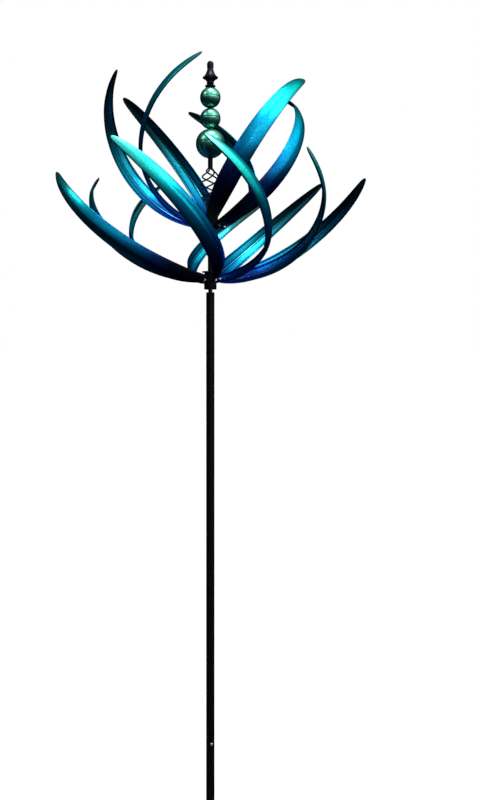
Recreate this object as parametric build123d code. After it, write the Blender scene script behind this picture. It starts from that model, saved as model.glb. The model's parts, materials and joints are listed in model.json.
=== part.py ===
from build123d import *

import math
import os

# Kinetic wind sculpture on a garden pole: two bowls of curved leaf blades turn opposite ways
# on one spindle, under a fixed stack of a twisted wire basket, three balls and a finial.
# Millimetres. Z is up, Z = 0 is the soil line, and the pole's axis is the Z axis.

# Driving sizes: the whole object.
TOTAL_HEIGHT = 2159.0  # spike tip to finial tip, 85 in
FORK_DEPTH = 254.0  # the part that is pushed into the soil, 10 in
FINIAL_TOP_Z = TOTAL_HEIGHT - FORK_DEPTH
LOWER_HUB_Z = FINIAL_TOP_Z - 499.0
UPPER_HUB_Z = LOWER_HUB_Z + 113.5
POLE_TOP_Z = LOWER_HUB_Z - 27.0
FIT_GAP = 0.05  # radial gap of the sleeves and plugs that slide together

# Driving sizes: the pole and its fork.
POLE_RADIUS = 9.5
POLE_WALL = 1.2
POLE_SEAMS_Z = (329.0, 854.0)
COUPLER_LENGTH = 100.0
STEP_BAR_SIZE = (190.0, 30.0, 5.0)
PRONG_SPACING = 170.0
PRONG_RADIUS = 4.0
PRONG_DEPTH = 215.0
SPIKE_RADIUS = 5.0
POINT_LENGTH = 25.0
STUB_HEIGHT = 75.0
SCREW_SHANK_RADIUS = 2.0
SCREW_HEAD_RADIUS = 3.6
SCREW_HEAD_HEIGHT = 2.0
SCREW_LENGTH = 7.0
SCREWS = ((40.0, 105.0), (357.0, -75.0), (882.0, 105.0))  # height, direction in degrees

# Driving sizes: the spindle and the ball bearings, 3/8 x 7/8 x 9/32 in.
SPINDLE_RADIUS = 4.75
RACE_BORE_RADIUS = 4.78
INNER_RACE_RADIUS = 6.9
OUTER_RACE_RADIUS = 9.0
BEARING_RADIUS = 11.1
BEARING_WIDTH = 7.1
BALL_RADIUS = 1.98
BALL_GROOVE_RADIUS = 2.03
BALL_COUNT = 8
BEARING_BASES = (-17.5, 6.0)  # each bearing's lower face, from the hub's middle
SLEEVE_BORE_RADIUS = SPINDLE_RADIUS + FIT_GAP

# Driving sizes: the hubs.
HOUSING_RADIUS = 14.2
HUB_RADIUS = 13.2
HUB_BOTTOM = -20.5
HUB_WAIST = -4.0
HUB_TOP = 18.0
FLANGE_RADIUS = 19.0
FLANGE_TOP = 20.7
FLANGE_BORE_RADIUS = 7.2

# Driving sizes: the sheet blades and their arms.
SHEET = 1.0
BLADE_PEAK = 0.30  # where along its length a blade is widest
BLADE_TAB = 13.0  # the straight root end under the bolt
TIP_HALF_WIDTH = 1.0
BOLT_SETBACK = 4.0
ARM_THICKNESS = 2.0
ARM_HALF_WIDTH = 6.5
ARM_NECK_HALF_WIDTH = 3.5
BOLT_RADIUS = 2.5
BOLT_HEAD_RADIUS = 4.2
BOLT_HEAD_HEIGHT = 2.6
NUT_ACROSS_FLATS = 8.0
NUT_HEIGHT = 3.2
LOWER_TIER = {
    "root_radius": 31.0,
    "root_rise": 1.5,
    "first_turn": -36.0,
    "heading": 0.0,  # degrees off the radius, anticlockwise from above
    "lift": 3.0,
    "lean": 49.0,  # degrees of roll about the root's own line
    "length": 494.0,
    "arc_radii": (215.0, 243.0),
    "width": 42.0,
    "cup": 7.5,
    "root_share": 0.56,
    "tip_shape": (1.6, 0.42),  # the two exponents that round the leaf off
}
UPPER_TIER = {
    "root_radius": 36.0,
    "root_rise": 12.0,
    "first_turn": 137.0,
    "heading": 13.0,
    "lift": 19.0,
    "lean": -37.0,
    "length": 485.0,
    "arc_radii": (203.0, 219.0),
    "width": 45.0,
    "cup": 5.9,
    "root_share": 0.50,
    "tip_shape": (1.6, 0.4),
}
# How each hand-set blade stands off its even spacing, in degrees: turn, lift, roll.
LOWER_SET = [
    (0, 1, 0.5),
    (-9, -2.5, 1.5),
    (7.5, -2.5, 2.5),
    (3, 1.5, 0),
    (-2.5, -0.5, 4),
    (4.5, 1, -3.5),
    (0.5, 1.5, -2.5),
    (-6, -5, -1),
    (4, 0, -3),
]
UPPER_SET = [
    (2.5, -5, -1),
    (-8, -3.5, -1.5),
    (7.5, 4, 0.5),
    (-6, 0.5, 0.5),
    (7.5, -0.5, 0.5),
    (-2, 2, -1),
]

# Driving sizes: the fixed stack above the upper hub, heights from the lower hub's middle.
BASKET_BASE_Z = LOWER_HUB_Z + 137.5
BASKET_Z = LOWER_HUB_Z + 168.0
BASKET_TOP_Z = LOWER_HUB_Z + 255.0
STEM_TOP_Z = LOWER_HUB_Z + 277.2
BASKET_WIRES = 4
BASKET_TURNS = 1.25
BASKET_BULGE = 20.0
WIRE_RADIUS = 1.8
WIRE_CIRCLE_RADIUS = 3.7
STEM_RADIUS = 5.6
ROD_RADIUS = 3.0
ROD_BORE_RADIUS = ROD_RADIUS + FIT_GAP
BALL_DIAMETERS = (66.0, 47.0, 47.0)
BALL_WALL = 1.0
WASHER_THICKNESS = 0.6
WASHER_RADIUS = 6.0
COLLAR_HEIGHT = 8.0


def ring(outer, inner, low, high):
    """A plain ring about the Z axis, from one height to another."""
    height = high - low
    tube = Cylinder(outer, height, align=(Align.CENTER, Align.CENTER, Align.MIN))
    bore = Cylinder(inner, height, align=(Align.CENTER, Align.CENTER, Align.MIN))
    return Pos(0, 0, low) * (tube - bore)


def rod(radius, low, high):
    """A plain rod about the Z axis, from one height to another."""
    return Pos(0, 0, low) * Cylinder(radius, high - low, align=(Align.CENTER, Align.CENTER, Align.MIN))


def turned(outline):
    """A solid turned about the Z axis from its half outline of (radius, height) points."""
    points = [(radius, 0, height) for radius, height in outline]
    return revolve(make_face(Polyline(*points, close=True)), Axis.Z)


def pointed_rod(radius, depth):
    """A rod that hangs down from Z = 0 and ends in a cone."""
    return turned([(0, 0), (radius, 0), (radius, POINT_LENGTH - depth), (0.8, -depth), (0, -depth)])


def screw_place(height, direction):
    """The frame of a screw in the pole's wall: X points out of the pole."""
    return Pos(0, 0, height) * Rot(0, 0, direction) * Pos(POLE_RADIUS, 0, 0)


def screw_holes():
    """The clearance drillings of every pole screw."""
    drill = Rot(0, 90, 0) * Cylinder(SCREW_SHANK_RADIUS + 0.1, 14)
    return [screw_place(height, direction) * drill for height, direction in SCREWS]


def pole_screw():
    """A domed screw along X, its head's flat face on X = 0."""
    rim, crown = SCREW_HEAD_RADIUS, SCREW_HEAD_HEIGHT
    head = turned([(0, 0), (rim, 0), (rim, 0.8), (2.4, crown), (0, crown)])
    shank = rod(SCREW_SHANK_RADIUS, -SCREW_LENGTH, 0)
    socket = Pos(0, 0, SCREW_HEAD_HEIGHT - 0.6) * extrude(RegularPolygon(1.3, 6), 1.2)
    return Rot(0, 90, 0) * (head + shank - socket)


def fork_parts():
    """The step bar, the spikes below it and the stub that carries the pole."""
    length, width, thickness = STEP_BAR_SIZE
    bar = extrude(RectangleRounded(length, width, 8), thickness)
    prong = pointed_rod(PRONG_RADIUS, PRONG_DEPTH)
    prongs = [Pos(side * PRONG_SPACING / 2, 0, 0) * prong for side in (-1, 1)]
    bore = POLE_RADIUS - POLE_WALL
    stub = ring(bore - FIT_GAP, bore - POLE_WALL, thickness, STUB_HEIGHT)
    return {
        "fork_step_bar": bar,
        "fork_centre_spike": pointed_rod(SPIKE_RADIUS, FORK_DEPTH),
        "fork_side_prongs": Compound(children=prongs),
        "fork_stub": stub - screw_holes(),
    }


def pole_parts():
    """Three tubes, the couplers inside their seams, the screws and the plug at the top."""
    bore = POLE_RADIUS - POLE_WALL
    levels = [STEP_BAR_SIZE[2], *POLE_SEAMS_Z, POLE_TOP_Z]
    holes = screw_holes()
    parts = {}
    for name, low, high in zip(("lower", "middle", "upper"), levels, levels[1:]):
        tube = ring(POLE_RADIUS, bore, low, high)
        circles = tube.edges().filter_by(GeomType.CIRCLE)
        rims = circles.filter_by(lambda edge: edge.radius > bore + 0.1)
        parts[f"pole_{name}_tube"] = chamfer(rims, 0.4) - holes
    for name, seam in zip(("lower", "upper"), POLE_SEAMS_Z):
        ends = (seam - COUPLER_LENGTH / 2, seam + COUPLER_LENGTH / 2)
        sleeve = ring(bore - FIT_GAP, bore - POLE_WALL, *ends)
        parts[f"pole_{name}_coupler"] = sleeve - holes
    parts["pole_screws"] = Compound(children=[screw_place(*screw) * pole_screw() for screw in SCREWS])
    parts["pole_top_plug"] = ring(bore - FIT_GAP, SLEEVE_BORE_RADIUS, POLE_TOP_Z - 40, POLE_TOP_Z)
    return parts


def clip_level():
    """The height of the clip under the lower hub's bearings: its lower and upper faces."""
    high = LOWER_HUB_Z + BEARING_BASES[0] - FIT_GAP
    return high - 1.1, high


def spindle_parts():
    """The fixed spindle, the clip in its groove and the sleeves that space the bearings."""
    clip_low, clip_high = clip_level()
    spindle = rod(SPINDLE_RADIUS, POLE_TOP_Z - 38, BASKET_Z - 8)
    groove = ring(SPINDLE_RADIUS + 1, 3.9, clip_low - 0.05, clip_high + 0.05)
    clip = ring(7.4, 3.95, clip_low, clip_high) - Pos(6, 0, clip_low) * Box(8, 5, 6)
    between = (LOWER_HUB_Z + BEARING_BASES[1] + BEARING_WIDTH, UPPER_HUB_Z + BEARING_BASES[0])
    above = (UPPER_HUB_Z + BEARING_BASES[1] + BEARING_WIDTH, BASKET_BASE_Z)
    spacers = [
        ring(6.5, SLEEVE_BORE_RADIUS, hub + BEARING_BASES[0] + BEARING_WIDTH, hub + BEARING_BASES[1])
        for hub in (LOWER_HUB_Z, UPPER_HUB_Z)
    ]
    return {
        "spindle": spindle - groove,
        "spindle_clip": clip,
        "bearing_spacers": Compound(children=spacers),
        "hub_sleeve": ring(5.7, SLEEVE_BORE_RADIUS, *between),
        "top_bush": ring(6.4, SLEEVE_BORE_RADIUS, *above),
    }


def bearing_levels(hub_z):
    """The lower face of each bearing of one hub."""
    return [hub_z + base for base in BEARING_BASES]


def race(outer, inner, low):
    """One bearing race, with the groove that its balls run in."""
    pitch = (INNER_RACE_RADIUS + OUTER_RACE_RADIUS) / 2
    groove = Pos(0, 0, low + BEARING_WIDTH / 2) * Torus(pitch, BALL_GROOVE_RADIUS)
    return ring(outer, inner, low, low + BEARING_WIDTH) - groove


def inner_races():
    """The inner races of all four bearings, which stay still on the spindle."""
    levels = bearing_levels(LOWER_HUB_Z) + bearing_levels(UPPER_HUB_Z)
    return Compound(children=[race(INNER_RACE_RADIUS, RACE_BORE_RADIUS, low) for low in levels])


def bearing_balls():
    """A ring of balls in each of the four bearings."""
    pitch = (INNER_RACE_RADIUS + OUTER_RACE_RADIUS) / 2
    balls = []
    for low in bearing_levels(LOWER_HUB_Z) + bearing_levels(UPPER_HUB_Z):
        for place in PolarLocations(pitch, BALL_COUNT):
            balls.append(Pos(0, 0, low + BEARING_WIDTH / 2) * place * Sphere(BALL_RADIUS))
    return Compound(children=balls)


def hub_parts(name, hub_z):
    """One hub: its turned shell, the flange that closes it and its bearings' outer races."""
    seat = BEARING_RADIUS + 0.02
    low_seat, high_seat = BEARING_BASES
    shell = turned(
        [
            (seat, HUB_BOTTOM),
            (HOUSING_RADIUS - 0.8, HUB_BOTTOM),
            (HOUSING_RADIUS, HUB_BOTTOM + 0.8),
            (HOUSING_RADIUS, HUB_WAIST - 0.8),
            (HOUSING_RADIUS - 0.8, HUB_WAIST),
            (HUB_RADIUS, HUB_WAIST),
            (HUB_RADIUS, HUB_TOP),
            (seat, HUB_TOP),
            (seat, high_seat),
            (9.3, high_seat),
            (9.3, low_seat + BEARING_WIDTH),
            (seat, low_seat + BEARING_WIDTH),
        ]
    )
    spigot_foot = high_seat + BEARING_WIDTH + FIT_GAP
    flange = turned(
        [
            (FLANGE_BORE_RADIUS, FLANGE_TOP),
            (FLANGE_RADIUS - 0.7, FLANGE_TOP),
            (FLANGE_RADIUS, FLANGE_TOP - 0.7),
            (FLANGE_RADIUS, HUB_TOP),
            (seat - FIT_GAP, HUB_TOP),
            (seat - FIT_GAP, spigot_foot),
            (9.4, spigot_foot),
            (9.4, HUB_TOP),
            (FLANGE_BORE_RADIUS, HUB_TOP),
        ]
    )
    races = [race(BEARING_RADIUS, OUTER_RACE_RADIUS, low) for low in bearing_levels(hub_z)]
    return {
        f"{name}_hub_shell": Pos(0, 0, hub_z) * shell,
        f"{name}_hub_flange": Pos(0, 0, hub_z) * flange,
        f"{name}_bearing_outer_races": Compound(children=races),
    }


def cup_height(tier, across):
    """How far a blade's sheet rises towards the bowl's inside, at a distance off its midrib."""
    share = abs(across) / (tier["width"] / 2)
    return tier["cup"] * (0.4 * share + 0.6 * share**2)


def cupped_strip(tier, half_width, top, bottom):
    """The cross-section of a cupped strip in the YZ plane, between two depths."""
    middle = half_width / 2
    edges = []
    for offset in (top, bottom):
        for side in (-1, 1):
            start = (0, side * half_width, cup_height(tier, half_width) + offset)
            through = (0, side * middle, cup_height(tier, middle) + offset)
            edges.append(ThreePointArc(start, through, (0, 0, offset)))
    for side in (-1, 1):
        rim = cup_height(tier, half_width)
        edges.append(Line((0, side * half_width, rim + top), (0, side * half_width, rim + bottom)))
    return make_face(edges)


def half_width_at(tier, distance):
    """Half the leaf's width at a distance along its midrib from where its curve starts."""
    share = distance / tier["length"]
    if distance < 0:
        root = (1 - (distance / BLADE_TAB) ** 2) ** 0.8
        return tier["width"] / 2 * tier["root_share"] * root
    if share < BLADE_PEAK:
        swell = math.sin(math.pi / 2 * share / BLADE_PEAK)
        return tier["width"] / 2 * (tier["root_share"] + (1 - tier["root_share"]) * swell)
    beyond = min(1.0, (share - BLADE_PEAK) / (1 - BLADE_PEAK))
    spread, roundness = tier["tip_shape"]
    return max(TIP_HALF_WIDTH, tier["width"] / 2 * (1 - beyond**spread) ** roundness)


def midrib_point(tier, distance):
    """A point of the midrib in the blade's own XZ plane, and the angle that it has turned."""
    first, second = tier["arc_radii"]
    half = tier["length"] / 2
    if distance < 0:
        return distance, 0.0, 0.0
    if distance <= half:
        angle = distance / first
        return first * math.sin(angle), first * (1 - math.cos(angle)), angle
    bend = half / first
    angle = bend + (distance - half) / second
    x = first * math.sin(bend) + second * (math.sin(angle) - math.sin(bend))
    z = first * (1 - math.cos(bend)) + second * (math.cos(bend) - math.cos(angle))
    return x, z, angle


def leaf_prism(tier):
    """The leaf outline as a prism across the blade's chord, to trim the rolled strip with."""
    tip_x, tip_z, _ = midrib_point(tier, tier["length"])
    slope = math.atan2(tip_z, tip_x)
    shares = [0.0, 0.05, 0.12, 0.2, 0.3, 0.4, 0.5, 0.6, 0.7, 0.8, 0.88, 0.93, 0.965, 0.985, 0.995]
    shares += [0.999, 1.0]
    distances = [-12.6, -11.0, -8.5, -5.0] + [share * tier["length"] for share in shares]
    rim = []
    for distance in distances:
        x, z, angle = midrib_point(tier, distance)
        across = half_width_at(tier, distance)
        rise = cup_height(tier, across)
        edge_x = x - rise * math.sin(angle)
        edge_z = z + rise * math.cos(angle)
        rim.append((edge_x * math.cos(slope) + edge_z * math.sin(slope), across))
    near = Spline(*rim)
    far = Spline(*[(along, -across) for along, across in rim])
    ends = [Line((along, across), (along, -across)) for along, across in (rim[0], rim[-1])]
    chord = (math.cos(slope), 0, math.sin(slope))
    normal = (-math.sin(slope), 0, math.cos(slope))
    chord_plane = Plane(origin=(0, 0, 0), x_dir=chord, z_dir=normal)
    return extrude(chord_plane * make_face([near, far, *ends]), 260, both=True)


def blade_solid(tier):
    """A leaf blade in its own frame: X out along the root, Z towards the bowl's inside."""
    strip = cupped_strip(tier, tier["width"] / 2 + 1.5, SHEET, 0.0)
    first, second = tier["arc_radii"]
    half = tier["length"] / 2
    tab = extrude(strip, BLADE_TAB + 3, dir=(-1, 0, 0))
    near = revolve(strip, Axis((0, 0, first), (0, -1, 0)), math.degrees(half / first))
    x, z, angle = midrib_point(tier, half)
    far = revolve(strip, Axis((0, 0, second), (0, -1, 0)), math.degrees(half / second))
    far = Pos(x, 0, z) * Rot(0, -math.degrees(angle), 0) * far
    hole = Pos(-BOLT_SETBACK, 0, 0) * Cylinder(BOLT_RADIUS + 0.1, 20)
    return ((tab + near + far) & leaf_prism(tier)) - hole


def arm_solid(tier):
    """The strap under a blade's root, in the blade's frame, long enough to reach into the hub."""
    top = -FIT_GAP
    reach = tier["root_radius"] - 5
    strip = cupped_strip(tier, ARM_HALF_WIDTH + 1, top, top - ARM_THICKNESS)
    bar = Pos(3, 0, 0) * extrude(strip, reach + 3, dir=(-1, 0, 0))
    neck, full = ARM_NECK_HALF_WIDTH, ARM_HALF_WIDTH
    corners = [(-reach, neck), (-reach + 8, neck), (-10, full), (0, full), (3, full - 3)]
    outline = corners + [(x, -y) for x, y in reversed(corners)]
    plate = extrude(make_face(Polyline(*outline, close=True)), 20, both=True)
    hole = Pos(-BOLT_SETBACK, 0, 0) * Cylinder(BOLT_RADIUS + 0.1, 20)
    return (bar & plate) - hole


def bolt_solid(tier):
    """The bolt that holds a blade to its arm, in the blade's frame, its dome on the inside."""
    seat = SHEET + cup_height(tier, BOLT_HEAD_RADIUS) + FIT_GAP
    tail = -(ARM_THICKNESS + NUT_HEIGHT + 0.8)
    crown = seat + BOLT_HEAD_HEIGHT
    profile = [
        (0, tail),
        (BOLT_RADIUS - 0.5, tail),
        (BOLT_RADIUS, tail + 0.5),
        (BOLT_RADIUS, seat),
        (BOLT_HEAD_RADIUS, seat),
        (BOLT_HEAD_RADIUS, seat + 0.9),
        (BOLT_HEAD_RADIUS - 1.3, crown - 0.3),
        (0, crown),
    ]
    return Pos(-BOLT_SETBACK, 0, 0) * turned(profile)


def nut_solid():
    """The nut under a blade's arm, in the blade's frame."""
    top = -(ARM_THICKNESS + 2 * FIT_GAP)
    body = extrude(RegularPolygon(NUT_ACROSS_FLATS / 2, 6, major_radius=False), NUT_HEIGHT)
    small, large = NUT_ACROSS_FLATS / 2 - 0.1, NUT_ACROSS_FLATS / 2 + 1.9
    cone = turned([(0, -1), (small, -1), (large, 1), (large, 6), (0, 6)])
    hole = Cylinder(BOLT_RADIUS + FIT_GAP, 20)
    return Pos(-BOLT_SETBACK, 0, top - NUT_HEIGHT) * ((body & cone) - hole)


def blade_places(tier, hand_set, hub_z):
    """The frame of each blade of one tier, with its own small hand-set error."""
    places = []
    for number, (turn, lift, roll) in enumerate(hand_set):
        around = tier["first_turn"] + number * 360 / len(hand_set) + turn
        root = Rot(0, 0, around) * Pos(tier["root_radius"], 0, hub_z + tier["root_rise"])
        swing = Rot(0, 0, tier["heading"])
        tilt = Rot(0, -(tier["lift"] + lift), 0)
        places.append(root * swing * tilt * Rot(tier["lean"] + roll, 0, 0))
    return places


def rotor_parts(name, tier, hand_set, hub_z):
    """Everything that turns with one hub: the hub, its arms, bolts, nuts and blades."""
    places = blade_places(tier, hand_set, hub_z)
    hub_core = rod(HUB_RADIUS, hub_z + HUB_WAIST - 8, hub_z + HUB_TOP)
    parts = hub_parts(name, hub_z)
    parts[f"{name}_arms"] = Compound(children=[place * arm_solid(tier) - hub_core for place in places])
    parts[f"{name}_blade_bolts"] = Compound(children=[place * bolt_solid(tier) for place in places])
    parts[f"{name}_blade_nuts"] = Compound(children=[place * nut_solid() for place in places])
    blade = blade_solid(tier)
    for number, place in enumerate(places, start=1):
        parts[f"{name}_blade_{number}"] = place * blade
    return parts


def basket_wire():
    """One wire of the twisted basket, swelling out to the middle and back."""
    steps = 14
    points = []
    for step in range(steps + 1):
        share = step / steps
        radius = WIRE_CIRCLE_RADIUS + BASKET_BULGE * abs(math.sin(math.pi * share)) ** 0.75
        angle = -2 * math.pi * BASKET_TURNS * share
        height = BASKET_Z + share * (BASKET_TOP_Z - BASKET_Z)
        points.append(Vector(radius * math.cos(angle), radius * math.sin(angle), height))
    before = points[0] - (points[1] - points[0]) * 0.5
    after = points[-1] + (points[-1] - points[-2]) * 0.5
    path = Spline(before, *points, after)
    wire = sweep(Plane(origin=path @ 0, z_dir=path % 0) * Circle(WIRE_RADIUS), path)
    keep = Pos(0, 0, (BASKET_Z + BASKET_TOP_Z) / 2) * Box(90, 90, BASKET_TOP_Z - BASKET_Z)
    return wire & keep


def basket_parts():
    """The twisted wire basket between its base and the stem."""
    base = turned(
        [
            (0, BASKET_Z - 6),
            (SPINDLE_RADIUS + FIT_GAP, BASKET_Z - 6),
            (SPINDLE_RADIUS + FIT_GAP, BASKET_BASE_Z),
            (9.0, BASKET_BASE_Z),
            (9.0, BASKET_BASE_Z + 4),
            (6.6, BASKET_BASE_Z + 8),
            (6.6, BASKET_Z - 4),
            (5.6, BASKET_Z),
            (0, BASKET_Z),
        ]
    )
    stem = turned(
        [
            (0, BASKET_TOP_Z),
            (STEM_RADIUS, BASKET_TOP_Z),
            (STEM_RADIUS, STEM_TOP_Z),
            (ROD_BORE_RADIUS, STEM_TOP_Z),
            (ROD_BORE_RADIUS, BASKET_TOP_Z + 5),
            (0, BASKET_TOP_Z + 5),
        ]
    )
    wire = basket_wire()
    wires = [Rot(0, 0, number * 360 / BASKET_WIRES) * wire for number in range(BASKET_WIRES)]
    return {
        "basket_base": base,
        "basket_wires": Compound(children=wires),
        "stem": stem,
    }


def half_ball(radius, centre_z, upper):
    """Half of a hollow pressed ball, open at its pole for the rod."""
    drill = Cylinder(ROD_BORE_RADIUS + 0.2, 3 * radius)
    shell = Sphere(radius) - Sphere(radius - BALL_WALL) - drill
    side = 1 if upper else -1
    half = shell & Pos(0, 0, side * radius) * Box(3 * radius, 3 * radius, 2 * radius)
    return Pos(0, 0, centre_z) * half


def ball_parts():
    """Three balls in pressed halves on the rod, with a washer under each."""
    parts = {}
    washers = []
    level = STEM_TOP_Z
    for name, diameter in zip(("large", "middle", "top"), BALL_DIAMETERS):
        washers.append(ring(WASHER_RADIUS, ROD_BORE_RADIUS, level, level + WASHER_THICKNESS))
        centre = level + WASHER_THICKNESS + diameter / 2
        parts[f"{name}_ball_lower_half"] = half_ball(diameter / 2, centre, False)
        parts[f"{name}_ball_upper_half"] = half_ball(diameter / 2, centre, True)
        level = centre + diameter / 2
    parts["ball_washers"] = Compound(children=washers)
    return parts, level


def finial_collar(level):
    """The small flared collar that the finial stands on."""
    bore, top = ROD_BORE_RADIUS, level + COLLAR_HEIGHT
    lines = [
        Polyline((bore, 0, top), (bore, 0, level), (10.8, 0, level), (12.3, 0, level + 3.2)),
        ThreePointArc((12.3, 0, level + 3.2), (8.0, 0, level + 5.2), (6.5, 0, top)),
        Line((6.5, 0, top), (bore, 0, top)),
    ]
    return revolve(make_face(lines), Axis.Z)


def finial(level):
    """The turned finial: a foot, a pointed skirt that sweeps up to a neck, and a round head."""
    bore, bore_top = ROD_BORE_RADIUS, level + 38
    head = 7.6
    dome = FINIAL_TOP_Z - head
    diagonal = math.sqrt(0.5)
    lines = [
        Polyline((0, 0, bore_top), (bore, 0, bore_top), (bore, 0, level)),
        Polyline((bore, 0, level), (8.4, 0, level), (8.0, 0, level + 3)),
        ThreePointArc((8.0, 0, level + 3), (10.9, 0, level + 8.4), (17.6, 0, level + 13.2)),
        Line((17.6, 0, level + 13.2), (17.6, 0, level + 14.4)),
        ThreePointArc((17.6, 0, level + 14.4), (10.6, 0, level + 22.6), (7.0, 0, level + 33)),
        Polyline((7.0, 0, level + 33), (7.0, 0, level + 34.4), (head, 0, level + 37.4), (head, 0, dome)),
        ThreePointArc((head, 0, dome), (head * diagonal, 0, dome + head * diagonal), (0, 0, FINIAL_TOP_Z)),
        Line((0, 0, FINIAL_TOP_Z), (0, 0, bore_top)),
    ]
    return revolve(make_face(lines), Axis.Z)


def stack_parts():
    """Everything that stands still above the upper hub."""
    balls, level = ball_parts()
    return {
        **basket_parts(),
        **balls,
        "finial_collar": finial_collar(level),
        "finial": finial(level + COLLAR_HEIGHT),
        "finial_rod": rod(ROD_RADIUS, BASKET_TOP_Z + 6, level + COLLAR_HEIGHT + 36),
    }


def all_parts():
    """Every sub-part by the name of its node."""
    return {
        **fork_parts(),
        **pole_parts(),
        **spindle_parts(),
        "bearing_inner_races": inner_races(),
        "bearing_balls": bearing_balls(),
        **rotor_parts("lower", LOWER_TIER, LOWER_SET, LOWER_HUB_Z),
        **rotor_parts("upper", UPPER_TIER, UPPER_SET, UPPER_HUB_Z),
        **stack_parts(),
    }


os.makedirs("parts", exist_ok=True)
for node, shape in all_parts().items():
    export_step(shape, f"parts/{node}.step")
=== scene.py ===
import json
import math

import bpy
from mathutils import Matrix, Vector, noise


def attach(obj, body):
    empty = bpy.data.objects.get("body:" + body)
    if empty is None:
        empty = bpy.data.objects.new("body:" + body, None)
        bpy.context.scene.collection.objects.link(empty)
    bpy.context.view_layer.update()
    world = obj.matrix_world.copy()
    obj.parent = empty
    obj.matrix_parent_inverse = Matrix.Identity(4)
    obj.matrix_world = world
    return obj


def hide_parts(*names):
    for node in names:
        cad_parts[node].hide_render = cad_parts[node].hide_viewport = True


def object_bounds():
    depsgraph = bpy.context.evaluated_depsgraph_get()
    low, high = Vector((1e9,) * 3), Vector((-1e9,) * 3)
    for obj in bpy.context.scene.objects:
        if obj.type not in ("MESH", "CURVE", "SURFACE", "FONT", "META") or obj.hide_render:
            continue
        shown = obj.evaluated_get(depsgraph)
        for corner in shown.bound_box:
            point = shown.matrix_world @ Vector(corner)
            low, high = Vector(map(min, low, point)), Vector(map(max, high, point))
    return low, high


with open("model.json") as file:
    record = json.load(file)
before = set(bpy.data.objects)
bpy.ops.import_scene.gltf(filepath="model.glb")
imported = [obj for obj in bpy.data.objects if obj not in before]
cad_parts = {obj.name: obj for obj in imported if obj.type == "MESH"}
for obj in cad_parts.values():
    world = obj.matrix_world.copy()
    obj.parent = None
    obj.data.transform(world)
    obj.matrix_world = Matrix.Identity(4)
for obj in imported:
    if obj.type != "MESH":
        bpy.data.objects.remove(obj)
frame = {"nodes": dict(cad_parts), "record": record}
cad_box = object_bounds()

# Kinetic wind sculpture. Metres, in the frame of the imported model: Z up, Z = 0 the soil line.

MM = 0.001
NODES = frame["nodes"]

# The blades' driving sizes, in mm and degrees, as in the CAD model. They and each blade's offsets of
# turn, lift and roll are the rounded result of a least-squares fit, not values set by hand.
LOWER_TIER = {
    "hub_z": 1406.0,
    "root_radius": 31.0,
    "root_rise": 1.5,
    "first_turn": -36.0,
    "heading": 0.0,
    "lift": 3.0,
    "lean": 49.0,
    "length": 494.0,
    "arc_radii": (215.0, 243.0),
    "width": 42.0,
    "cup": 7.5,
    "root_share": 0.56,
    "tip_shape": (1.6, 0.42),
    "fitted_offsets": [
        (0, 1, 0.5),
        (-9, -2.5, 1.5),
        (7.5, -2.5, 2.5),
        (3, 1.5, 0),
        (-2.5, -0.5, 4),
        (4.5, 1, -3.5),
        (0.5, 1.5, -2.5),
        (-6, -5, -1),
        (4, 0, -3),
    ],
}
UPPER_TIER = {
    "hub_z": 1519.5,
    "root_radius": 36.0,
    "root_rise": 12.0,
    "first_turn": 137.0,
    "heading": 13.0,
    "lift": 19.0,
    "lean": -37.0,
    "length": 485.0,
    "arc_radii": (203.0, 219.0),
    "width": 45.0,
    "cup": 5.9,
    "root_share": 0.50,
    "tip_shape": (1.6, 0.4),
    "fitted_offsets": [
        (2.5, -5, -1),
        (-8, -3.5, -1.5),
        (7.5, 4, 0.5),
        (-6, 0.5, 0.5),
        (7.5, -0.5, 0.5),
        (-2, 2, -1),
    ],
}
BLADE_PEAK = 0.30
BLADE_TAB = 13.0
SHEET = 1.0

# The fixed stack, in mm.
BALLS_FROM_Z = 1683.2
BALLS = (("large", 66.0), ("middle", 47.0), ("top", 47.0))
WASHER = 0.6
COLLAR = 8.0
TOP_Z = 1905.0

# Where the key glow comes from: 42 degrees right of the camera's side, 45 degrees up.
KEY_DIRECTION = (0.473, -0.525, 0.707)


# ---------------------------------------------------------------- blades


def half_width_at(tier, distance):
    """Half the leaf's width at a distance along its midrib, in mm."""
    share = distance / tier["length"]
    if distance < 0:
        root = max(0.0, 1 - (distance / BLADE_TAB) ** 2) ** 0.8
        return tier["width"] / 2 * tier["root_share"] * root
    if share < BLADE_PEAK:
        swell = math.sin(math.pi / 2 * share / BLADE_PEAK)
        return tier["width"] / 2 * (tier["root_share"] + (1 - tier["root_share"]) * swell)
    beyond = min(1.0, (share - BLADE_PEAK) / (1 - BLADE_PEAK))
    spread, roundness = tier["tip_shape"]
    return max(0.6, tier["width"] / 2 * (1 - beyond**spread) ** roundness)


def midrib_point(tier, distance):
    """A point of the midrib in the blade's XZ plane, and the angle that it has turned."""
    first, second = tier["arc_radii"]
    half = tier["length"] / 2
    if distance < 0:
        return distance, 0.0, 0.0
    if distance <= half:
        angle = distance / first
        return first * math.sin(angle), first * (1 - math.cos(angle)), angle
    bend = half / first
    angle = bend + (distance - half) / second
    x = first * math.sin(bend) + second * (math.sin(angle) - math.sin(bend))
    z = first * (1 - math.cos(bend)) + second * (math.cos(bend) - math.cos(angle))
    return x, z, angle


def cup_height(tier, across):
    """How far the sheet rises towards the bowl's inside, at a distance off its midrib."""
    share = abs(across) / (tier["width"] / 2)
    return tier["cup"] * (0.4 * share + 0.6 * share**2)


def crease_height(tier, across):
    """How much more the inner face rises than the outer one, so that it creases at the midrib."""
    share = abs(across) / (tier["width"] / 2)
    return 1.05 * tier["cup"] * share * max(0.0, 1 - share)


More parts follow.
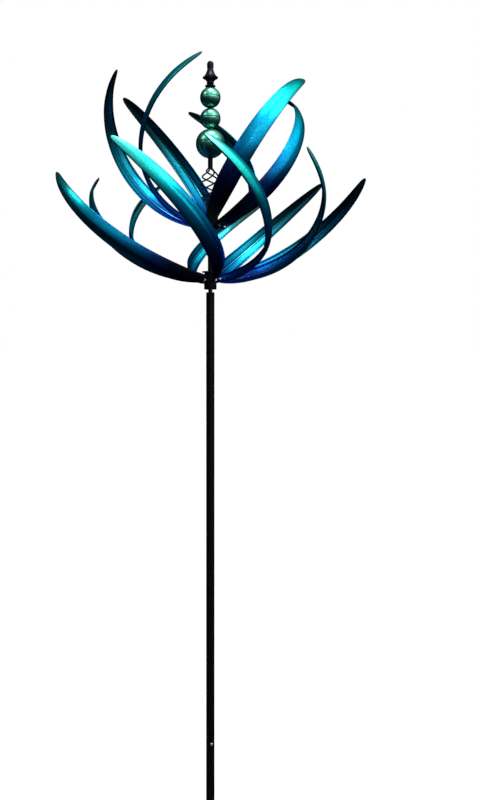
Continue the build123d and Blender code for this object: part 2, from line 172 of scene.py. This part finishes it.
def blade_section(half):
    """One closed cross-section of a blade: (across, height over the sheet's underside, side).

    The inner face has a pressed midrib and a folded hem along each edge.
    """
    k = min(1.0, half / 10.0)
    rib = [(0.0, 0.75), (0.8, 0.6), (1.5, 0.18), (2.1, 0.0)]
    hem = [(4.4, 0.0), (3.7, 0.1), (3.3, 0.62), (2.9, 0.85), (1.2, 0.85), (0.45, 0.6)]
    inner = [(offset * k, SHEET + rise * k) for offset, rise in rib]
    start, stop = inner[-1][0], half - hem[0][0] * k
    inner += [(start + (stop - start) * step / 6, SHEET) for step in range(1, 6)]
    inner += [(half - offset * k, SHEET + rise * k) for offset, rise in hem]
    edge = [(half, 0.95), (half - 0.1 * k, 0.35)]
    outer = [(half - 0.5 * k, 0.03), (half - 1.4 * k, 0.0)]
    outer += [((half - 1.4 * k) * step / 8, 0.0) for step in range(7, 0, -1)]
    right = [(y, h, 1.0) for y, h in inner] + [(y, h, 0.5) for y, h in edge]
    right += [(y, h, 0.0) for y, h in outer]
    centre = [(0.0, 0.0, 0.0)]
    left = [(-y, h, side) for y, h, side in reversed(right[1:])]
    return right + centre + left


def blade_stations(tier):
    """Distances along the midrib, closer together at the root and the tip."""
    length = tier["length"]
    root = [-12.9, -12.4, -11.4, -9.8, -7.4, -4.0]
    body = [length * 0.97 * step / 104 for step in range(105)]
    tip = [length * (1 - 0.03 * (1 - step / 12) ** 2) for step in range(1, 13)]
    return root + body + tip


def blade_mesh(name, tier, seed):
    """The sheet blade as a lofted closed mesh in its own frame, with its leaf coordinates."""
    stations = blade_stations(tier)
    verts, faces, leaf = [], [], []
    count = len(blade_section(20.0))
    for distance in stations:
        half = half_width_at(tier, distance)
        x0, z0, angle = midrib_point(tier, distance)
        for across, height, side in blade_section(max(half, 0.35)):
            share = distance / tier["length"]
            wave = noise.noise(Vector((distance / 38, across / 30, seed * 7.3)))
            wave += 0.35 * noise.noise(Vector((distance / 13, across / 11, seed * 3.1)))
            dent = 0.28 * wave * min(1.0, max(0.0, share) * 12)
            rise = cup_height(tier, across) + height + dent
            if height > 0.5:
                rise += crease_height(tier, across) * min(1.0, max(0.0, share) * 9)
            x = x0 - rise * math.sin(angle)
            z = z0 + rise * math.cos(angle)
            verts.append((x * MM, across * MM, z * MM))
            leaf.append((share, 0.5 + 0.5 * across / max(half, 0.35), side))
    for row in range(len(stations) - 1):
        for i in range(count):
            j = (i + 1) % count
            a, b = row * count, (row + 1) * count
            faces.append((a + i, b + i, b + j, a + j))
    faces.append(tuple(range(count)))
    last = (len(stations) - 1) * count
    faces.append(tuple(last + i for i in reversed(range(count))))
    mesh = bpy.data.meshes.new(name)
    mesh.from_pydata(verts, [], faces)
    attribute = mesh.attributes.new("leaf", "FLOAT_VECTOR", "POINT")
    attribute.data.foreach_set("vector", [value for point in leaf for value in point])
    for polygon in mesh.polygons:
        polygon.use_smooth = True
    mesh.update()
    return mesh


def turned_mesh(name, outline, base_z, sides=96):
    """A closed mesh turned about the Z axis from a closed (radius, height) outline, in mm."""
    verts, faces = [], []
    for step in range(sides):
        angle = 2 * math.pi * step / sides
        for radius, height in outline:
            x, y = radius * math.cos(angle), radius * math.sin(angle)
            verts.append((x * MM, y * MM, (base_z + height) * MM))
    count = len(outline)
    for step in range(sides):
        here, there = step * count, (step + 1) % sides * count
        for i in range(count):
            j = (i + 1) % count
            faces.append((here + i, there + i, there + j, here + j))
    mesh = bpy.data.meshes.new(name)
    mesh.from_pydata(verts, [], faces)
    for polygon in mesh.polygons:
        polygon.use_smooth = True
    mesh.set_sharp_from_angle(angle=math.radians(50))
    return mesh


def span_value(p, q, r, s, t):
    """One coordinate of a Catmull-Rom span from q to r, at t from 0 to 1."""
    square = (2 * p - 5 * q + 4 * r - s) * t**2
    cube = (3 * q - p - 3 * r + s) * t**3
    return 0.5 * (2 * q + (r - p) * t + square + cube)


def curve_through(points, steps=5):
    """A smooth outline through points, by Catmull-Rom spans."""
    path = [points[0], *points, points[-1]]
    smooth = []
    for span in zip(path, path[1:], path[2:], path[3:]):
        for step in range(steps):
            smooth.append(tuple(span_value(*values, step / steps) for values in zip(*span)))
    return smooth + [points[-1]]


def half_ball_outline(radius, side):
    """Half of a pressed ball: its outer skin with a rolled-in rim, then its inner skin."""
    rim = [(radius - 1.4, 0.02), (radius - 1.0, 0.06), (radius - 0.5, 0.3), (radius - 0.2, 0.7)]
    steps = 30
    start = math.asin(1.4 / radius)
    stop = math.acos(3.3 / radius)
    outer = [start + (stop - start) * step / steps for step in range(steps + 1)]
    skin = [(radius * math.cos(angle), radius * math.sin(angle)) for angle in outer]
    inner = radius - 1.5
    stop = math.acos(3.3 / inner)
    back = [stop * (1 - step / 16) for step in range(16)]
    lining = [(inner * math.cos(angle), inner * math.sin(angle)) for angle in back]
    outline = rim + skin + lining
    if side < 0:
        return [(r, -z) for r, z in reversed(outline)]
    return outline


def add_balls(material):
    """The three balls, each in two pressed halves that meet in a fine seam."""
    level = BALLS_FROM_Z
    for name, diameter in BALLS:
        centre = level + WASHER + diameter / 2
        for half, side in (("lower", -1), ("upper", 1)):
            outline = half_ball_outline(diameter / 2, side)
            mesh = turned_mesh(f"{name}_ball_{half}_skin", outline, centre)
            node = f"{name}_ball_{half}_half"
            new_piece(f"{name}_ball_{half}_skin", mesh, "pole", material, "ball_paint", node)
        level = centre + diameter / 2
    return level


def add_finial(level, material):
    """The flared collar on the top ball and the turned finial on it, with soft edges."""
    collar = [(3.05, 7.9), (3.05, 0.05), (10.3, 0.0), (10.9, 0.3), (12.1, 2.7), (12.0, 3.3)]
    collar += curve_through([(12.0, 3.3), (9.2, 4.6), (7.3, 6.1), (6.5, 7.6)])[1:]
    collar += [(6.3, 7.9)]
    mesh = turned_mesh("finial_collar_turned", collar, level)
    new_piece("finial_collar_turned", mesh, "pole", material, "finial_gloss", "finial_collar")
    foot = level + COLLAR
    top = TOP_Z - foot
    flare = curve_through([(8.0, 3.0), (8.9, 6.0), (11.6, 9.2), (14.7, 11.5), (17.3, 13.0)])
    sweep = curve_through([(17.3, 14.4), (14.2, 17.0), (11.3, 21.4), (8.8, 27.0), (7.1, 32.6)])
    outline = [(3.05, 37.9), (3.05, 0.05), (8.2, 0.0), (8.4, 0.3), *flare, (17.6, 13.5), (17.6, 14.0)]
    outline += [*sweep, (6.95, 33.4), (7.1, 34.6), (7.5, 36.6), (7.6, 37.8)]
    head = 7.6
    for step in range(15):
        angle = math.pi / 2 * step / 14
        outline.append((max(0.01, head * math.cos(angle)), top - head + head * math.sin(angle)))
    outline += [(0.01, 38.0)]
    mesh = turned_mesh("finial_turned", outline, foot)
    new_piece("finial_turned", mesh, "pole", material, "finial_gloss", "finial")


def rot(degrees, axis):
    """A rotation about one axis, in degrees."""
    return Matrix.Rotation(math.radians(degrees), 4, axis)


def blade_places(tier):
    """The matrix of each blade of one tier, with its own fitted offsets."""
    places = []
    for number, (turn, lift, roll) in enumerate(tier["fitted_offsets"]):
        around = tier["first_turn"] + number * 360 / len(tier["fitted_offsets"]) + turn
        foot = Vector((tier["root_radius"] * MM, 0, (tier["hub_z"] + tier["root_rise"]) * MM))
        root = rot(around, "Z") @ Matrix.Translation(foot)
        tilt = rot(tier["heading"], "Z") @ rot(-(tier["lift"] + lift), "Y")
        places.append(root @ tilt @ rot(tier["lean"] + roll, "X"))
    return places


def new_piece(name, mesh, body, material, slot, *nodes):
    """Adds a mesh to the scene on one body, in place of the named CAD nodes."""
    piece = bpy.data.objects.new(name, mesh)
    bpy.context.scene.collection.objects.link(piece)
    mesh.materials.clear()
    mesh.materials.append(material)
    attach(piece, body)
    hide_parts(*nodes)
    return piece


def add_blades(prefix, tier, material):
    """Every blade of one tier, each in place of its CAD node."""
    for number, place in enumerate(blade_places(tier), start=1):
        node = f"{prefix}_blade_{number}"
        seed = number + len(tier["fitted_offsets"])
        mesh = blade_mesh(f"{node}_leaf", tier, seed)
        mesh.transform(place)
        new_piece(f"{node}_leaf", mesh, f"{prefix}_rotor", material, "blade_paint", node)


# ---------------------------------------------------------------- materials


def new_material(name):
    """A node material with its principled shader."""
    material = bpy.data.materials.new(name)
    material.use_nodes = True
    return material, material.node_tree, material.node_tree.nodes["Principled BSDF"]


def add(tree, kind, **settings):
    """A shader node with its settings; a key such as in_Scale sets that input."""
    node = tree.nodes.new(kind)
    for key, value in settings.items():
        if key.startswith("in_"):
            node.inputs[key[3:].replace("_", " ")].default_value = value
        else:
            setattr(node, key, value)
    return node


def ramp(tree, source, stops):
    """A colour ramp on a value; stops are (position, colour or grey level)."""
    node = tree.nodes.new("ShaderNodeValToRGB")
    elements = node.color_ramp.elements
    while len(elements) < len(stops):
        elements.new(0.5)
    for element, (position, colour) in zip(elements, stops):
        element.position = position
        level = colour if isinstance(colour, tuple) else (colour, colour, colour)
        element.color = (*level, 1.0)
    tree.links.new(source, node.inputs["Fac"])
    return node.outputs["Color"]


def math_node(tree, operation, first, second):
    """A maths node whose inputs are sockets or numbers."""
    node = add(tree, "ShaderNodeMath", operation=operation)
    for socket, value in zip(node.inputs, (first, second)):
        if isinstance(value, (int, float)):
            socket.default_value = value
        else:
            tree.links.new(value, socket)
    return node.outputs["Value"]


def mix_colour(tree, blend, factor, first, second):
    """A colour mix node whose inputs are sockets or values."""
    node = add(tree, "ShaderNodeMix", data_type="RGBA", blend_type=blend)
    for socket, value in ((node.inputs[0], factor), (node.inputs[6], first), (node.inputs[7], second)):
        if hasattr(value, "links"):
            tree.links.new(value, socket)
        elif isinstance(value, tuple):
            socket.default_value = (*value, 1.0)
        else:
            socket.default_value = value
    return node.outputs[2]


def object_noise(tree, scale, detail=3.0, rough=0.55):
    """Noise over the object's own space, at a scale in cells per metre."""
    coords = add(tree, "ShaderNodeTexCoord")
    node = add(tree, "ShaderNodeTexNoise", in_Scale=scale, in_Detail=detail, in_Roughness=rough)
    tree.links.new(coords.outputs["Object"], node.inputs["Vector"])
    return node.outputs["Fac"]


def bump(tree, shader, height, strength, distance):
    """A bump from a height, into the shader."""
    node = add(tree, "ShaderNodeBump", in_Strength=strength, in_Distance=distance)
    tree.links.new(height, node.inputs["Height"])
    tree.links.new(node.outputs["Normal"], shader.inputs["Normal"])
    return node


def coated(name, colours, rough, metallic, grain, height, shine=0.5):
    """A painted or bare metal: colours and roughness vary with noise, with a fine grain bump."""
    material, tree, shader = new_material(name)
    broad = object_noise(tree, grain * 0.18, 4.0)
    fine = object_noise(tree, grain, 2.0)
    low, high = colours
    tree.links.new(ramp(tree, broad, [(0.3, low), (0.7, high)]), shader.inputs["Base Color"])
    tree.links.new(ramp(tree, fine, [(0.25, rough[0]), (0.75, rough[1])]), shader.inputs["Roughness"])
    shader.inputs["Metallic"].default_value = metallic
    shader.inputs["Specular IOR Level"].default_value = shine
    bump(tree, shader, fine, 0.35, height)
    return material


def leaf_streaks(tree, leaf):
    """Fine crosswise streaks over a leaf, from its own coordinates."""
    stretch = add(tree, "ShaderNodeMapping")
    stretch.inputs["Scale"].default_value = (170.0, 5.0, 3.0)
    streaks = add(tree, "ShaderNodeTexNoise", in_Scale=1.0, in_Detail=3.0, in_Roughness=0.6)
    tree.links.new(leaf.outputs["Vector"], stretch.inputs["Vector"])
    tree.links.new(stretch.outputs["Vector"], streaks.inputs["Vector"])
    return streaks.outputs["Fac"]


# Lacquer colours of a blade's two faces, with painted shade at their dark ends, as (share of the
# length, colour).
OUTSIDE_SPRAY_AND_SHADE = [
    # The outside's near-black root end is painted shade near the hub; the blue, cyan and teal beyond
    # are the spray.
    (0.00, (0.085, 0.080, 0.055)),
    (0.12, (0.046, 0.046, 0.062)),
    (0.22, (0.014, 0.034, 0.160)),
    (0.30, (0.006, 0.085, 0.380)),
    (0.38, (0.005, 0.230, 0.530)),
    (0.48, (0.005, 0.340, 0.600)),
    (0.60, (0.006, 0.430, 0.660)),
    (0.70, (0.008, 0.550, 0.620)),
    (0.82, (0.016, 0.600, 0.530)),
    (0.92, (0.040, 0.680, 0.560)),
    (1.00, (0.110, 0.700, 0.560)),
]
INSIDE_SPRAY_AND_SHADE = [
    (0.00, (0.030, 0.080, 0.480)),
    (0.12, (0.010, 0.060, 0.420)),
    (0.22, (0.006, 0.110, 0.420)),
    (0.34, (0.006, 0.290, 0.540)),
    (0.48, (0.012, 0.520, 0.700)),
    # Past mid-length the inside darkens to near-black green at the tip: painted shade on the inner
    # faces.
    (0.56, (0.012, 0.440, 0.580)),
    (0.66, (0.014, 0.330, 0.400)),
    (0.78, (0.030, 0.260, 0.250)),
    (0.88, (0.036, 0.150, 0.120)),
    (1.00, (0.050, 0.110, 0.095)),
]


def painted_edge_light_and_shade(tree, colour, along, across, inner, shift):
    """Darkens a leaf's rim as painted shade, browns its hem at the root as a painted highlight, and
    draws painted shade in the inner face's creases and a painted highlight on the midrib.
    """
    offset = math_node(tree, "MULTIPLY", math_node(tree, "SUBTRACT", across, 0.5), 2.0)
    edge_only = math_node(tree, "ABSOLUTE", offset, 0.0)
    edge = math_node(tree, "ADD", edge_only, shift)
    # Painted shade: the rim darkens and blues where the rounded sheet turns away from the light.
    rim = ramp(tree, edge, [(0.50, 0.0), (0.78, 0.30), (0.97, 0.75)])
    colour = mix_colour(tree, "MULTIPLY", rim, colour, (0.25, 0.26, 0.46))
    # Painted highlight: an olive-brown glint along the outside hem near the root.
    outer = math_node(tree, "SUBTRACT", 1.0, inner)
    root = math_node(tree, "MULTIPLY", ramp(tree, along, [(0.10, 0.75), (0.36, 0.0)]), outer)
    hem = math_node(tree, "MULTIPLY", ramp(tree, edge, [(0.62, 0.0), (0.88, 1.0)]), root)
    colour = mix_colour(tree, "MIX", hem, colour, (0.150, 0.120, 0.045))
    # Painted shade: near-black navy lines in the inner face's creases beside the midrib and the hems.
    crease_shade_stops = [(0.04, 0.0), (0.08, 0.9), (0.16, 0.9), (0.22, 0.0)]
    crease_shade_stops += [(0.68, 0.0), (0.74, 0.9), (0.83, 0.9), (0.88, 0.0)]
    crease_shade = math_node(tree, "MULTIPLY", ramp(tree, edge_only, crease_shade_stops), inner)
    colour = mix_colour(tree, "MIX", crease_shade, colour, (0.004, 0.010, 0.040))
    # Painted highlight: a pale cyan line along the midrib's crest on the inner face.
    rib = math_node(tree, "MULTIPLY", ramp(tree, edge_only, [(0.02, 0.5), (0.05, 0.0)]), inner)
    return mix_colour(tree, "MIX", rib, colour, (0.120, 0.400, 0.420))


def hammered(tree, shader, grain):
    """A fine hammered bump, with the grain on it."""
    hammer = add(tree, "ShaderNodeTexVoronoi", in_Scale=250.0, feature="SMOOTH_F1")
    coords = add(tree, "ShaderNodeTexCoord")
    tree.links.new(coords.outputs["Object"], hammer.inputs["Vector"])
    height = math_node(tree, "ADD", hammer.outputs["Distance"], grain)
    bump(tree, shader, height, 0.14, 0.0004)


def blade_material():
    """Hammered metallic lacquer with painted light and shade: dark at the root from painted shade,
    then blue and cyan, and teal at the tip.
    """
    material, tree, shader = new_material("blade_lacquer_and_painted_light")
    leaf = add(tree, "ShaderNodeAttribute", attribute_name="leaf")
    split = add(tree, "ShaderNodeSeparateXYZ")
    tree.links.new(leaf.outputs["Vector"], split.inputs["Vector"])
    along, across, inner = split.outputs["X"], split.outputs["Y"], split.outputs["Z"]
    cloud = object_noise(tree, 14.0, 4.0)
    fleck = object_noise(tree, 230.0, 3.0, 0.65)
    streaks = leaf_streaks(tree, leaf)
    shift = math_node(tree, "MULTIPLY", math_node(tree, "SUBTRACT", cloud, 0.5), 0.16)
    place = math_node(tree, "ADD", along, shift)
    side = math_node(tree, "ROUND", inner, 0.0)
    colour = mix_colour(tree, "MIX", side, ramp(tree, place, OUTSIDE_SPRAY_AND_SHADE), ramp(tree, place, INSIDE_SPRAY_AND_SHADE))
    # Painted shade on the rims and in the inner creases, painted highlights on the root hems and the
    # midrib.
    colour = painted_edge_light_and_shade(tree, colour, along, across, inner, shift)
    grain = math_node(tree, "ADD", math_node(tree, "MULTIPLY", streaks, 0.45), fleck)
    mottle = ramp(tree, grain, [(0.48, 0.62), (0.72, 1.0), (0.92, 1.3)])
    colour = mix_colour(tree, "MULTIPLY", 1.0, colour, mottle)
    tone = ramp(tree, object_noise(tree, 6.0, 2.0), [(0.30, 1.0), (0.70, 1.5)])
    colour = mix_colour(tree, "MULTIPLY", 1.0, colour, tone)
    colour.node.clamp_result = True
    tree.links.new(colour, shader.inputs["Base Color"])
    rough = ramp(tree, grain, [(0.5, 0.34), (0.9, 0.20)])
    tree.links.new(rough, shader.inputs["Roughness"])
    shader.inputs["Metallic"].default_value = 1.0
    shader.inputs["Specular Tint"].default_value = (0.10, 0.38, 0.54, 1.0)
    hammered(tree, shader, grain)
    return material


def paint_nodes(materials):
    """Gives every CAD node that still shows the material of its slot."""
    slots = {entry["node"]: entry["material_slot"] for entry in frame["record"]["subparts"]}
    for name, node in NODES.items():
        node.data.materials.clear()
        node.data.materials.append(materials[slots[name]])


# ---------------------------------------------------------------- stage


def add_floor():
    """A plain pale floor under the fork's tip."""
    mesh = bpy.data.meshes.new("floor")
    size, low = 30.0, cad_box[0].z - 0.0005
    corners = [(-size, -size, low), (size, -size, low), (size, size, low), (-size, size, low)]
    mesh.from_pydata(corners, [], [(0, 1, 2, 3)])
    floor = bpy.data.objects.new("floor", mesh)
    bpy.context.scene.collection.objects.link(floor)
    material, tree, shader = new_material("floor_pale")
    shader.inputs["Base Color"].default_value = (0.86, 0.86, 0.86, 1)
    shader.inputs["Roughness"].default_value = 0.9
    shader.inputs["Emission Color"].default_value = (1, 1, 1, 1)
    shader.inputs["Emission Strength"].default_value = 0.55
    mesh.materials.append(material)
    floor.visible_glossy = False
    floor.visible_diffuse = False


def add_light(name, place, aim, size, watts):
    """A soft square light that looks at a point."""
    data = bpy.data.lights.new(name, "AREA")
    data.size = size
    data.energy = watts
    light = bpy.data.objects.new(name, data)
    light.location = place
    light.rotation_euler = (Vector(aim) - Vector(place)).to_track_quat("-Z", "Y").to_euler()
    bpy.context.scene.collection.objects.link(light)
    light.visible_camera = False


def add_world():
    """A studio that is white to the camera; reflections see one broad soft key, front right."""
    world = bpy.data.worlds.new("studio")
    bpy.context.scene.world = world
    world.use_nodes = True
    tree = world.node_tree
    tree.nodes.clear()
    coords = add(tree, "ShaderNodeTexCoord")
    facing = add(tree, "ShaderNodeVectorMath", operation="DOT_PRODUCT")
    facing.inputs[1].default_value = KEY_DIRECTION
    tree.links.new(coords.outputs["Generated"], facing.inputs[0])
    towards = math_node(tree, "ADD", math_node(tree, "MULTIPLY", facing.outputs["Value"], 0.5), 0.5)
    glow = [
        (0.00, (0.150, 0.220, 0.200)),
        (0.10, (0.010, 0.012, 0.020)),
        (0.34, (0.012, 0.018, 0.034)),
        (0.50, (0.035, 0.048, 0.078)),
        (0.64, (0.100, 0.125, 0.160)),
        (0.76, (0.270, 0.300, 0.330)),
        (0.86, (0.660, 0.680, 0.700)),
        (0.94, (0.960, 0.960, 0.960)),
    ]
    split = add(tree, "ShaderNodeSeparateXYZ")
    tree.links.new(coords.outputs["Generated"], split.inputs["Vector"])
    height = math_node(tree, "ADD", math_node(tree, "MULTIPLY", split.outputs["Z"], 0.5), 0.5)
    horizon = ramp(tree, height, [(0.41, 0.30), (0.52, 1.0)])
    glow_colour = mix_colour(tree, "MULTIPLY", 1.0, ramp(tree, towards, glow), horizon)
    around = add(tree, "ShaderNodeBackground", in_Strength=1.3)
    tree.links.new(glow_colour, around.inputs["Color"])
    seen = add(tree, "ShaderNodeBackground", in_Color=(1, 1, 1, 1), in_Strength=1.0)
    path = add(tree, "ShaderNodeLightPath")
    mix = add(tree, "ShaderNodeMixShader")
    tree.links.new(path.outputs["Is Camera Ray"], mix.inputs["Fac"])
    tree.links.new(around.outputs["Background"], mix.inputs[1])
    tree.links.new(seen.outputs["Background"], mix.inputs[2])
    output = add(tree, "ShaderNodeOutputWorld")
    tree.links.new(mix.outputs["Shader"], output.inputs["Surface"])


def add_camera():
    """A level view from the front, from a little below the lower hub."""
    data = bpy.data.cameras.new("camera")
    data.sensor_width = 36.0
    data.lens = 31.68
    data.shift_x = 0.0371
    data.shift_y = -0.1065
    data.clip_end = 100.0
    camera = bpy.data.objects.new("camera", data)
    camera.location = (0.0, -1.600, 1.328)
    camera.rotation_euler = (math.radians(90), 0, 0)
    bpy.context.scene.collection.objects.link(camera)
    bpy.context.scene.camera = camera


# ---------------------------------------------------------------- the scene

add_camera()
black = coated(
    "black_powder_coat",
    ((0.0020, 0.0020, 0.0026), (0.0055, 0.0050, 0.0048)),
    (0.24, 0.38),
    0.0,
    900,
    0.0002,
    shine=0.09,
)
steel = coated(
    "black_oxide_steel",
    ((0.020, 0.020, 0.024), (0.045, 0.044, 0.048)),
    (0.30, 0.45),
    1.0,
    700,
    0.0001,
)
zinc = coated("zinc_plate", ((0.55, 0.56, 0.57), (0.72, 0.73, 0.74)), (0.18, 0.36), 1.0, 600, 0.0001)
bearing = coated(
    "bearing_steel",
    ((0.60, 0.61, 0.62), (0.66, 0.67, 0.68)),
    (0.10, 0.20),
    1.0,
    500,
    0.00005,
)
nylon = coated(
    "black_nylon",
    ((0.018, 0.018, 0.018), (0.030, 0.030, 0.030)),
    (0.45, 0.60),
    0.0,
    800,
    0.0002,
)
pearl = coated("ball_pearl", ((0.07, 0.34, 0.22), (0.20, 0.68, 0.50)), (0.24, 0.34), 1.0, 160, 0.0002)
gloss = coated(
    "finial_gloss",
    ((0.004, 0.002, 0.012), (0.010, 0.005, 0.028)),
    (0.05, 0.10),
    0.0,
    400,
    0.0001,
    shine=0.16,
)
lacquer = blade_material()
paint_nodes(
    {
        "black_paint": black,
        "blade_paint": lacquer,
        "ball_paint": pearl,
        "finial_gloss": gloss,
        "bearing_steel": bearing,
        "bare_steel": steel,
        "zinc_fastener": zinc,
        "black_nylon": nylon,
    }
)
add_blades("lower", LOWER_TIER, lacquer)
add_blades("upper", UPPER_TIER, lacquer)
add_finial(add_balls(pearl), gloss)
add_floor()
add_world()
add_light("key", (1.5, -1.3, 3.3), (0, 0, 1.55), 0.9, 14)
add_light("fill", (-1.9, -0.9, 3.3), (0, 0, 1.55), 0.9, 9)
add_light("overhead", (0.1, -0.35, 3.1), (0, 0, 1.7), 0.7, 12)
add_light("glint", (0.15, -2.2, 2.3), (0, 0, 1.7), 0.08, 0.7)
bpy.context.scene.view_settings.view_transform = "Standard"
